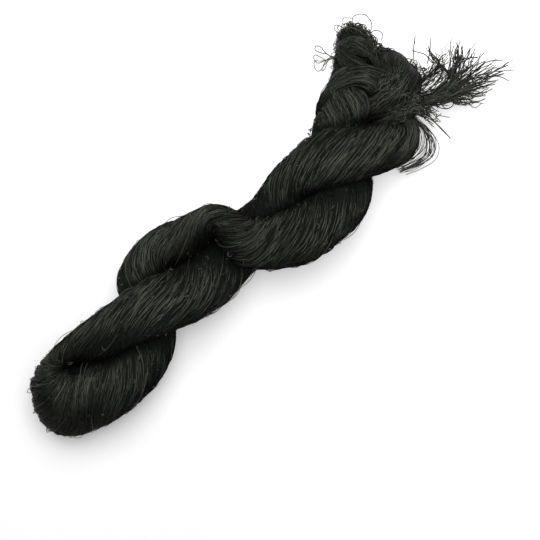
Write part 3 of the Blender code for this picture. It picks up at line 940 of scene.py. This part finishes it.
# ---------------------------------------------------------------------------------------
# The tassel of cut ends. Its locks leave the knot's neck together and spread in a fan, the
# stubs of cut meshes standing off them and a small knot left on many of the tips.
# ---------------------------------------------------------------------------------------
WIDE_FAN = [
    # the guide lines of its threads, from the highest to the lowest
    [(128.8, -7.4, 26), (138.6, -14.2, 27), (152.3, -14.5, 28), (165.4, -8.8, 27), (177.2, 0.3, 25)],
    [(127.9, -8.5, 26), (139.4, -15.4, 26), (153.7, -17.1, 27), (169.5, -13.7, 24), (182.7, -7.6, 20)],
    [(127.7, -8.8, 25), (140.3, -16.7, 25), (155.8, -18.0, 25), (173.9, -17.6, 20), (189.7, -15.9, 15)],
    [(127.3, -9.4, 25), (141.1, -17.9, 24), (157.6, -20.5, 23), (177.1, -22.7, 17), (195.9, -23.1, 11)],
    [(127.1, -9.7, 24), (142.0, -19.1, 23), (158.3, -23.0, 21), (178.8, -27.4, 14), (197.4, -32.3, 8)],
    [(126.7, -10.2, 24), (141.3, -20.0, 22), (157.8, -24.1, 18), (174.6, -28.6, 12), (187.8, -33.1, 7)],
    [(127.0, -11.0, 23), (140.7, -19.9, 21), (156.0, -24.5, 16), (168.4, -28.9, 10), (176.2, -34.4, 5)],
]
TASSEL_FANS = [
    # threads, their scatter in mm at the root and at the tip, the least and most of their
    # length that is left, and guide lines
    # the wide fan, and the thick root of it
    (100, (1.0, 2.3), (0.5, 1.0), WIDE_FAN),
    (26, (1.1, 2.6), (0.3, 0.66), WIDE_FAN[::3]),
    # the lowest few, apart from the rest
    (22, (0.9, 1.9), (0.65, 1.0), [
        [(136.5, -14.0, 23), (146.5, -22.8, 18), (154.0, -29.3, 14), (161.7, -34.2, 11), (169.7, -37.9, 9)],
        [(137.0, -13.5, 24), (148.1, -21.8, 19), (156.0, -27.8, 15), (164.0, -32.5, 12), (172.8, -36.4, 9)],
        [(143.4, -15.3, 24), (150.5, -21.0, 20), (158.8, -26.4, 16), (167.6, -30.4, 12), (176.9, -33.8, 9)],
    ]),
    # the bunch that stands up from its middle
    (24, (1.2, 3.4), (0.6, 1.0), [
        [(150.2, -17.3, 26), (157.9, -13.2, 27), (166.0, -6.6, 27), (174.1, 2.0, 24)],
        [(150.2, -17.3, 26), (159.9, -15.2, 27), (168.6, -10.0, 27), (178.1, -3.0, 24)],
    ]),
    # the branch that leaves the knot higher up
    (27, (0.7, 1.8), (0.5, 1.0), [
        [(131.6, -2.8, 29), (140.0, -3.1, 30), (148.5, -1.3, 30), (158.9, 2.0, 27)],
        [(130.5, -5.2, 28), (140.9, -5.3, 29), (152.6, -3.0, 28), (166.3, 2.1, 25)],
        [(129.5, -7.5, 27), (142.3, -7.8, 28), (154.7, -5.7, 28), (168.7, -2.1, 26)],
    ]),
    # the few between the wide fan and the branch
    (6, (0.8, 1.6), (0.5, 1.0), [
        [(129.5, -7.0, 27), (139.0, -9.5, 28), (149.0, -8.5, 28), (160.0, -3.5, 27)],
        [(129.5, -7.5, 27), (140.0, -12.0, 27), (150.0, -12.5, 27), (161.0, -8.0, 26)],
    ]),
    # threads bent back over the branch
    (11, (1.0, 0.7), (0.75, 1.0), [
        [(159.1, -21.2, 26), (155.3, -10.6, 30), (155.4, -0.3, 31), (157.4, 12.9, 30)],
        [(162.1, -18.2, 26), (157.3, -9.6, 30), (157.0, -0.8, 31), (158.4, 11.9, 30)],
    ]),
    # the short bunch below the neck
    (44, (1.6, 2.2), (0.5, 1.0), [
        [(125.5, -9.9, 24), (131.1, -14.6, 20), (135.2, -19.3, 15), (139.8, -23.6, 10)],
        [(123.1, -12.4, 24), (127.1, -17.6, 20), (131.2, -23.3, 15), (134.3, -28.6, 10)],
    ]),
]
LONE_ENDS = [
    # single cut threads that show by themselves
    [(144.9, 10.7, 30), (147.9, 14.1, 33), (150.9, 17.5, 36), (154.5, 20.8, 38)],
    [(149.7, 2.3, 32), (155.3, 6.6, 34), (158.6, 10.1, 36), (161.1, 13.4, 38)],
    [(148.1, 14.8, 33), (152.1, 8.4, 34), (152.9, 2.3, 34), (152.4, -3.6, 32)],
    [(173.5, -24.6, 18), (182.1, -28.0, 13), (188.3, -32.9, 10), (191.2, -38.2, 8)],
    [(174.2, -23.3, 20), (183.0, -26.3, 16), (191.0, -30.4, 12), (198.6, -34.7, 9)],
    [(161.6, -7.9, 28), (165.5, -3.0, 30), (169.9, 1.5, 30), (174.3, 5.9, 30)],
    [(164.7, -10.4, 28), (171.2, -9.2, 27), (175.5, -11.5, 26), (181.2, -14.5, 24)],
    [(161.4, -13.1, 28), (169.0, -10.5, 28), (175.4, -8.7, 26), (181.3, -6.4, 24)],
    [(160.8, -10.8, 28), (167.1, -7.5, 29), (173.0, -3.0, 28), (179.2, 1.8, 26)],
    [(171.5, -24.8, 18), (179.4, -26.5, 15), (188.9, -27.7, 12), (197.5, -29.6, 10)],
    [(169.7, -20.4, 20), (181.0, -19.1, 18), (189.0, -20.8, 15), (196.6, -25.1, 12)],
]


GUIDE_STATIONS = 100  # on a whole thread, before it is cut


def fan_threads(seed):
    """Threads of all fans: guide lines mixed, cut to a share of their length, and swayed.

    A thread slides from one mix of the guides at its root to another at its tip, so that
    the threads cross. Its offset grows from the root's scatter to the tip's, and two sine
    waves of its own are added, which grow too.
    """
    random = np.random.default_rng(seed)
    u = np.linspace(0, 1, 16)
    threads = []
    for count, (root, tip), length, guides in TASSEL_FANS:
        reach = random.uniform(*length, (count, 1))
        share = random.uniform(0, 1, count)
        slide = np.linspace(0, 1, len(guides[0]))[:, None]
        crossing = np.clip(share + random.normal(0, 0.3, count), 0, 1)
        knots = between(guides, share) * (1 - slide) + between(guides, crossing) * slide
        full = curve_through(knots, GUIDE_STATIONS)
        place = np.clip(u * reach * (GUIDE_STATIONS - 1), 0, GUIDE_STATIONS - 1.01)
        low = place.astype(int)
        part = (place - low)[..., None]
        thread = np.arange(count)[:, None]
        path = full[thread, low] * (1 - part) + full[thread, low + 1] * part
        width = (root + (tip - root) * u * reach)[..., None]
        cycles = random.uniform(4, 20, (count, 2, 1, 1))
        phase = random.uniform(0, 6, (count, 2, 1, 1))
        sway = random.normal(0, 0.6, (count, 2, 1, 3)) * np.sin(u[:, None] * cycles + phase)
        offset = random.normal(0, 1, (count, 1, 3)) * width
        threads.append(path + offset + sway.sum(1) * (0.4 + u[:, None]))
    paths = np.concatenate(threads)
    paths[..., 2] = np.maximum(paths[..., 2], 0.5)
    return paths


def stubs(paths, count, length, seed):
    """Short cut ends that leave other threads at a slant.

    A stub is start + reach * (way * u + bend * u**2), its way the thread's own with a draw
    added.
    """
    random = np.random.default_rng(seed)
    chosen = random.integers(0, len(paths), count)
    station = random.integers(5, paths.shape[1] - 2, count)
    start = paths[chosen, station]
    ahead = unit(paths[chosen, station + 1] - start)
    way = unit(ahead + random.normal(0, 0.55, (count, 3)))
    u = np.linspace(0, 1, 7)[:, None]
    reach = random.uniform(*length, (count, 1, 1))
    bend = random.normal(0, 0.12, (count, 1, 3)) * u**2
    return start[:, None] + reach * (way[:, None] * u + bend)


def tiny_knots(points, ahead, size):
    """An eight-faced bead at each point: size to four sides, and 1.7 of it along the thread."""
    side = unit(np.cross(ahead, (0.3, 0.2, 0.93)))
    other = np.cross(ahead, side)
    count = len(points)
    offsets = np.stack([1.7 * ahead, side, other, -side, -other, -1.7 * ahead], 1)
    corners = (points[:, None] + size * offsets).reshape(-1, 3)
    faces = np.array([
        (0, 1, 2), (0, 2, 3), (0, 3, 4), (0, 4, 1),
        (5, 2, 1), (5, 3, 2), (5, 4, 3), (5, 1, 4),
    ])
    triangles = (6 * np.arange(count)[:, None, None] + faces).reshape(-1, 3)
    tone = 0.3 + 0.3 * np.random.default_rng(8).random(count)
    middle = np.stack([0 * tone + 0.5, tone], 1)
    corner_map = middle[:, None, None] + np.array([(-0.01, 0), (0.01, 0), (0, 0.01)])
    corner_map = np.broadcast_to(corner_map, (count, 8, 3, 2)).reshape(-1, 3, 2)
    return corners, np.zeros((0, 4), int), triangles, np.zeros((0, 4, 2)), corner_map


FAN_RADIUS, LONE_RADIUS, STUB_RADIUS, BEAD_SIZE = 0.35, 0.38, 0.27, 0.42  # mm
fans = fan_threads(41)
lone_ends = curve_through(np.array(LONE_ENDS, float), 16)
threads = np.concatenate([fans, lone_ends])
short_stubs = stubs(threads, 260, (1.5, 4.5), 42)
long_stubs = stubs(threads, 100, (4.0, 12.0), 44)
cut_stubs = np.concatenate([short_stubs, long_stubs])
random = np.random.default_rng(43)
some = random.random(len(threads)) < 0.6  # have a knot left on the tip
tips = np.concatenate([threads[some, -1], cut_stubs[::3, -1]])
before = np.concatenate([threads[some, -2], cut_stubs[::3, -2]])
tassel_shapes = [
    tubes(fans, random.uniform(0.0, 0.65, (len(fans), 1)), FAN_RADIUS, 0.85),
    tubes(lone_ends, 0.2, LONE_RADIUS, 0.85),
    tubes(cut_stubs, random.uniform(0.05, 0.5, (len(cut_stubs), 1)), STUB_RADIUS, 0.85),
    tiny_knots(tips, unit(tips - before), BEAD_SIZE),
]
tassel = make_piece("tassel_threads", tassel_shapes, thread_nylon)
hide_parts("cut_ends")


# ---------------------------------------------------------------------------------------
# Loose loops. Threads pulled out of the net stand off it: open loops on the ear, a sheaf of
# arcs at the knot's end of the hank, curled loops on a stalk, and stray arcs everywhere.
# ---------------------------------------------------------------------------------------
def open_loops(base, out, across, width, height):
    """Arcs of an oval, a little more than half of it.

    base + across * width * cos(t) + out * height * (sin(t) + 0.35), t from -0.4 to pi + 0.4.
    """
    t = np.linspace(-0.4, math.pi + 0.4, 13)
    sideways = across[:, None] * (width[:, None] * np.cos(t))[..., None]
    outwards = out[:, None] * (height[:, None] * (np.sin(t) + 0.35))[..., None]
    return base[:, None] + sideways + outwards


EAR_WAY = (0.25, 0.35, 0)  # the lean of its loops, the way that the ear points


def ear_loops(seed):
    """Loops round the ear's tip and down its far flank, larger at the tip."""
    random = np.random.default_rng(seed)
    count, ear_length, tip_length = 44, 44, 16  # mm of thread
    place = random.uniform(0, ear_length, count)
    thread = random.uniform(0, 2 * math.pi, count)
    base = ply.surface(thread, place, np.full(count, -0.8))
    middle = ply.surface(thread, place, np.full(count, -7.0))
    any_way = unit(random.normal(0, 1, (count, 3)))
    out = unit(unit(base - middle) + 0.5 * any_way + EAR_WAY)
    across = unit(np.cross(out, random.normal(0, 1, (count, 3))))
    size = random.uniform(1.0, 2.8, count) * np.where(place < tip_length, 1.2, 0.8)
    return open_loops(base, out, across, size, size * random.uniform(0.8, 1.5, count))


def stray_arcs(seed, count, height, reach):
    """Threads that leave the ply's surface in a low arc, height * sin(pi u), and go back."""
    random = np.random.default_rng(seed)
    u = np.linspace(0, 1, 14)
    start = random.uniform(0, ply.length - 40, (count, 1))
    place = start + u * random.uniform(*reach, (count, 1))
    angle = random.uniform(0, 2 * math.pi, (count, 1))
    thread = angle + random.normal(0, 0.25, (count, 1)) * (u - 0.5)
    lift = random.uniform(*height, (count, 1)) * np.sin(math.pi * u) - 0.6
    paths = ply.surface(thread, place, lift)
    mostly_free = buried(paths, place, ply).mean(1) < 0.4
    return paths[mostly_free]


def small_curls(seed, count):
    """Little loops of a millimetre or two that stand on the ply, wherever it lies free."""
    random = np.random.default_rng(seed)
    place = random.uniform(0, ply.length, (count, 1))
    thread = random.uniform(0, 2 * math.pi, (count, 1))
    base = ply.surface(thread, place, np.full((count, 1), -0.3))
    middle = ply.surface(thread, place, np.full((count, 1), -6.0))
    kept = ~buried(base, place, ply)[:, 0]
    base, middle = base[kept, 0], middle[kept, 0]
    any_way = unit(random.normal(0, 1, base.shape))
    out = unit(unit(base - middle) + 0.6 * any_way)
    across = unit(np.cross(out, random.normal(0, 1, base.shape)))
    size = random.uniform(0.5, 1.6, len(base))
    return open_loops(base, out, across, size, 0.8 * size)


END_SHEAF = [
    # the nearest, a middle and the farthest arc round the net's end
    [
        (117.0, -19.5, 30), (117.5, -25.6, 26), (114.9, -32.3, 21),
        (108.4, -36.3, 17), (100.0, -36.3, 14), (91.2, -34.5, 12),
    ],
    [
        (118.4, -19.9, 30), (121.5, -28.3, 24), (120.3, -36.7, 18),
        (114.4, -42.1, 14), (104.7, -41.3, 12), (93.6, -38.0, 11),
    ],
    [
        (120.1, -20.0, 29), (123.2, -30.7, 22), (122.7, -40.4, 15),
        (116.3, -45.4, 11), (105.1, -44.3, 9), (94.2, -39.6, 9),
    ],
]
STALK_HEIGHT = 24  # mm
STALK_LOOPS = [
    # x and y, from the ear along the stalk, round a loop of three or four mm and back
    [
        (109.1, 46.9), (106.1, 48.5), (105.4, 51.8), (102.8, 55.0), (101.1, 59.1),
        (103.4, 60.8), (105.5, 58.1), (105.2, 54.7), (106.0, 49.5), (108.7, 45.4),
    ],
    [
        (108.2, 45.9), (104.2, 48.3), (101.7, 49.5), (100.5, 53.3), (98.8, 56.5),
        (96.5, 54.8), (96.7, 50.9), (100.7, 49.4), (104.7, 47.9), (108.2, 44.9),
    ],
    [
        (108.2, 45.9), (103.7, 47.8), (99.9, 47.4), (95.1, 46.0), (92.6, 47.1),
        (93.4, 51.1), (96.1, 53.3), (98.7, 51.1), (102.7, 48.7), (108.2, 45.9),
    ],
    [
        (108.2, 45.9), (104.7, 47.9), (101.3, 47.1), (97.6, 44.8), (95.2, 45.0),
        (97.9, 47.2), (100.8, 48.5), (104.6, 48.9), (107.0, 47.5), (108.6, 46.4),
    ],
]
EAR_ARCS = [
    # wide thin arcs past the ear's tip and its flank
    [(131.1, 56.7, 30), (133.6, 58.7, 31), (137.7, 57.5, 32), (140.8, 54.0, 32), (141.2, 50.1, 30)],
    [(141.2, 50.1, 30), (140.8, 48.4, 30), (139.9, 46.6, 30), (136.9, 44.1, 31), (132.8, 43.5, 32)],
    [(132.4, 42.0, 32), (137.2, 42.5, 32), (140.2, 40.0, 32), (140.4, 36.2, 32), (136.7, 33.9, 32)],
    [(126.2, 58.1, 30), (125.5, 60.0, 30), (126.9, 61.9, 30), (130.0, 61.7, 31), (132.2, 58.1, 31)],
]
NECK_STRAYS = [
    # loose threads that hang from the neck to the table
    [(125.2, -16.3, 22), (131.8, -21.9, 15), (134.4, -31.7, 6), (136.1, -41.7, 2)],
    [(125.3, -18.4, 20), (131.5, -24.6, 13), (134.9, -33.1, 6), (136.1, -41.7, 2)],
    [(120.4, -18.4, 24), (123.2, -22.9, 20), (125.1, -28.4, 16), (126.0, -33.1, 12)],
]
NECK_RING = [
    # one thread from the neck, once round a ring and off into the tassel
    (138.5, -19.5, 20), (141.1, -24.2, 17), (144.7, -27.3, 16), (148.9, -27.6, 16),
    (150.2, -25.1, 16), (148.3, -22.2, 16), (145.6, -21.2, 16), (143.0, -23.0, 17),
    (143.4, -26.6, 17), (146.7, -27.9, 17), (151.3, -26.9, 16), (156.8, -28.1, 14),
]
EAR_LOOP_LINES = [
    # loops, their least and largest half width, the point they lean away from, and the line
    # their feet stand on: the ear's tip and far flank, and the lobe's outline
    (
        32, (1.5, 3.1), (118, 40, 26),
        [(123.6, 54.0, 30), (127.2, 53.4, 31), (130.3, 51.6, 31), (132.4, 48.4, 31)],
    ),
    (
        60, (1.2, 2.8), (118, 34, 30),
        [(131.5, 44.1, 33), (130.3, 39.1, 34), (130.6, 33.9, 34), (131.8, 28.3, 34)],
    ),
    (
        34, (0.6, 1.5), (118, 4, 28),
        [(140.2, 12.3, 33), (143.0, 9.0, 30), (144.4, 5.0, 28), (145.4, 1.0, 26)],
    ),
]
RIM_LOOP_LINES = [
    # the same along the net's own outline, where loops of the outermost turns stand free
    (
        28, (0.6, 1.6), (62, -14, 30),
        [(36.2, 10.4, 40), (43.6, 11.2, 40), (49.8, 10.4, 40), (59.8, 14.2, 40)],
    ),
    (
        20, (0.7, 1.9), (-160, -24, 20),
        [
            (-185.6, -31.6, 17), (-179.7, -36.6, 17), (-172.2, -39.6, 17),
            (-164.2, -42.0, 17), (-154.1, -43.8, 17),
        ],
    ),
    (
        9, (0.6, 1.4), (20, -30, 20),
        [(-15.8, -33.4, 17), (-4.0, -39.8, 17), (8.2, -45.7, 17), (23.4, -48.0, 17)],
    ),
]


def fringe(count, sizes, heart, line, seed):
    """Open loops standing all ways off a line, but mostly away from the heart.

    A foot is a place on the line and a draw of 0.8 mm added, and the way out is the way
    from the heart and a draw of 0.7 added.
    """
    random = np.random.default_rng(seed)
    place = curve_through(np.array([line], float), 200)[0][random.integers(0, 200, count)]
    place = place + random.normal(0, 0.8, (count, 3))
    out = unit(random.normal(0, 0.7, (count, 3)) + unit(place - np.array(heart)))
    across = unit(np.cross(out, random.normal(0, 1, (count, 3))))
    size = random.uniform(*sizes, count)
    return open_loops(place, out, across, size, size * random.uniform(0.8, 1.6, count))


random = np.random.default_rng(55)
arcs = between(END_SHEAF, random.uniform(0, 1, 26))
arcs = arcs + random.normal(0, 0.8, (26, 1, 3)) + random.normal(0, 0.5, arcs.shape)
end_sheaf = curve_through(arcs, 22)
end_sheaf[..., 2] = np.maximum(end_sheaf[..., 2], 0.5)
stalk_knots = np.insert(np.array(STALK_LOOPS, float), 2, STALK_HEIGHT, axis=2)
sturdy_paths = [fringe(*row, 56 + k) for k, row in enumerate(EAR_LOOP_LINES)] + [
    ear_loops(52),
    curve_through(stalk_knots, 36),
    curve_through(np.array(NECK_STRAYS, float), 14),
    curve_through(np.array([NECK_RING], float), 40),
    curve_through(np.array(EAR_ARCS, float), 20),
]
fine_paths = [fringe(*row, 59 + k) for k, row in enumerate(RIM_LOOP_LINES)] + [
    end_sheaf,
    stray_arcs(53, 220, (0.8, 3.0), (14, 34)),
    small_curls(54, 380),
]
loop_groups = [
    # radius in mm, least and most tone, and the paths
    (0.33, (0.1, 0.6), sturdy_paths),
    (0.25, (0.2, 0.8), fine_paths),
]
loop_shapes = []
for radius, tones, group in loop_groups:
    for paths in group:
        tone = random.uniform(*tones, (len(paths), 1))
        loop_shapes.append(tubes(paths, tone, radius, 0.9))
bead_places = np.array([NECK_STRAYS[0][-1], NECK_STRAYS[2][-1], EAR_ARCS[1][0]], float)
bead_ways = np.tile([0.6, -0.8, 0.0], (3, 1))
loop_shapes.append(tiny_knots(bead_places, bead_ways, 0.5))
make_piece("loose_loops", loop_shapes, thread_nylon)


# ---------------------------------------------------------------------------------------
# The stage: a white table top, a wide soft lamp overhead, a dim even room, and a camera that
# looks steeply down at the hank through a long lens.
# ---------------------------------------------------------------------------------------
FLOOR_HALF = 3.0  # m, from the middle to an edge
GLOW_REACH = 0.16  # m from the middle of the hank to both ends of the glow's change


def add_floor(glow):
    """White paper with painted light: a glow, faint at the loop end, more at the knot's."""
    mesh = bpy.data.meshes.new("floor")
    turns = ((-1, -1), (1, -1), (1, 1), (-1, 1))
    mesh.from_pydata([(x * FLOOR_HALF, y * FLOOR_HALF, 0) for x, y in turns], [], [(0, 1, 2, 3)])
    paper = bpy.data.materials.new("white_table")
    paper.use_nodes = True
    nodes, links = paper.node_tree.nodes, paper.node_tree.links
    shader = nodes["Principled BSDF"]
    shader.inputs["Base Color"].default_value = (0.93, 0.93, 0.93, 1)
    shader.inputs["Roughness"].default_value = 0.9
    shader.inputs["Specular IOR Level"].default_value = 0.1
    shader.inputs["Emission Color"].default_value = (1, 1, 1, 1)
    place = nodes.new("ShaderNodeTexCoord")
    split = nodes.new("ShaderNodeSeparateXYZ")
    ramp = nodes.new("ShaderNodeMapRange")
    ramp.inputs["From Min"].default_value = -GLOW_REACH
    ramp.inputs["From Max"].default_value = GLOW_REACH
    ramp.inputs["To Min"].default_value, ramp.inputs["To Max"].default_value = glow
    links.new(place.outputs["Object"], split.inputs[0])
    links.new(split.outputs["X"], ramp.inputs["Value"])
    links.new(ramp.outputs[0], shader.inputs["Emission Strength"])
    mesh.materials.append(paper)
    floor = bpy.data.objects.new("floor", mesh)
    bpy.context.scene.collection.objects.link(floor)


AZIMUTH, ELEVATION = math.radians(-40), math.radians(80)
LOOK_AT = (np.array([-18.0, -36.0, 25.0]) - CENTRE) * MM
DISTANCE = 0.975  # m
FOCAL_LENGTH, SENSOR_WIDTH = 100, 36  # mm
LEVEL = math.cos(ELEVATION)
BACK = np.array([math.sin(AZIMUTH) * LEVEL, -math.cos(AZIMUTH) * LEVEL, math.sin(ELEVATION)])
RIGHT = np.array([math.cos(AZIMUTH), math.sin(AZIMUTH), 0.0])
UPWARD = np.cross(BACK, RIGHT)


def facing(right, upward, back, place):
    """World matrix of an object whose own X, Y and Z are right, upward and back."""
    matrix = np.eye(4)
    matrix[:3] = np.column_stack([right, upward, back, place])
    return Matrix(matrix.tolist())


def add_camera():
    """Long lens, looking down at the middle of the hank."""
    lens = bpy.data.cameras.new("camera")
    lens.lens = FOCAL_LENGTH
    lens.sensor_width = SENSOR_WIDTH
    camera = bpy.data.objects.new("camera", lens)
    camera.matrix_world = facing(RIGHT, UPWARD, BACK, LOOK_AT + DISTANCE * BACK)
    bpy.context.scene.collection.objects.link(camera)
    bpy.context.scene.camera = camera


def add_lamp(name, right, upward, height, reach, size, power):
    """Square soft lamp, aimed at the hank from reach metres away.

    Its way is told by how far it stands to the view's right, to its top, and up.
    """
    light = bpy.data.lights.new(name, "AREA")
    light.shape = "SQUARE"
    light.size = size
    light.energy = power
    top = np.array([-RIGHT[1], RIGHT[0], 0])
    back = unit(right * RIGHT + upward * top + (0, 0, height))
    across = unit(np.cross((0, 0, 1), back))
    lamp = bpy.data.objects.new(name, light)
    lamp.matrix_world = facing(across, np.cross(back, across), back, back * reach)
    bpy.context.scene.collection.objects.link(lamp)


def add_room(strength):
    """The same faint white light from all sides."""
    world = bpy.data.worlds.new("dim_room")
    world.use_nodes = True
    background = world.node_tree.nodes["Background"]
    background.inputs[0].default_value = (1, 1, 1, 1)
    background.inputs[1].default_value = strength
    bpy.context.scene.world = world


add_floor(glow=(0.19, 0.6))
add_camera()
add_room(0.15)
add_lamp("key_lamp", right=-0.06, upward=0.14, height=1.0, reach=1.2, size=1.3, power=15.5)
bpy.context.scene.view_settings.view_transform = "Standard"
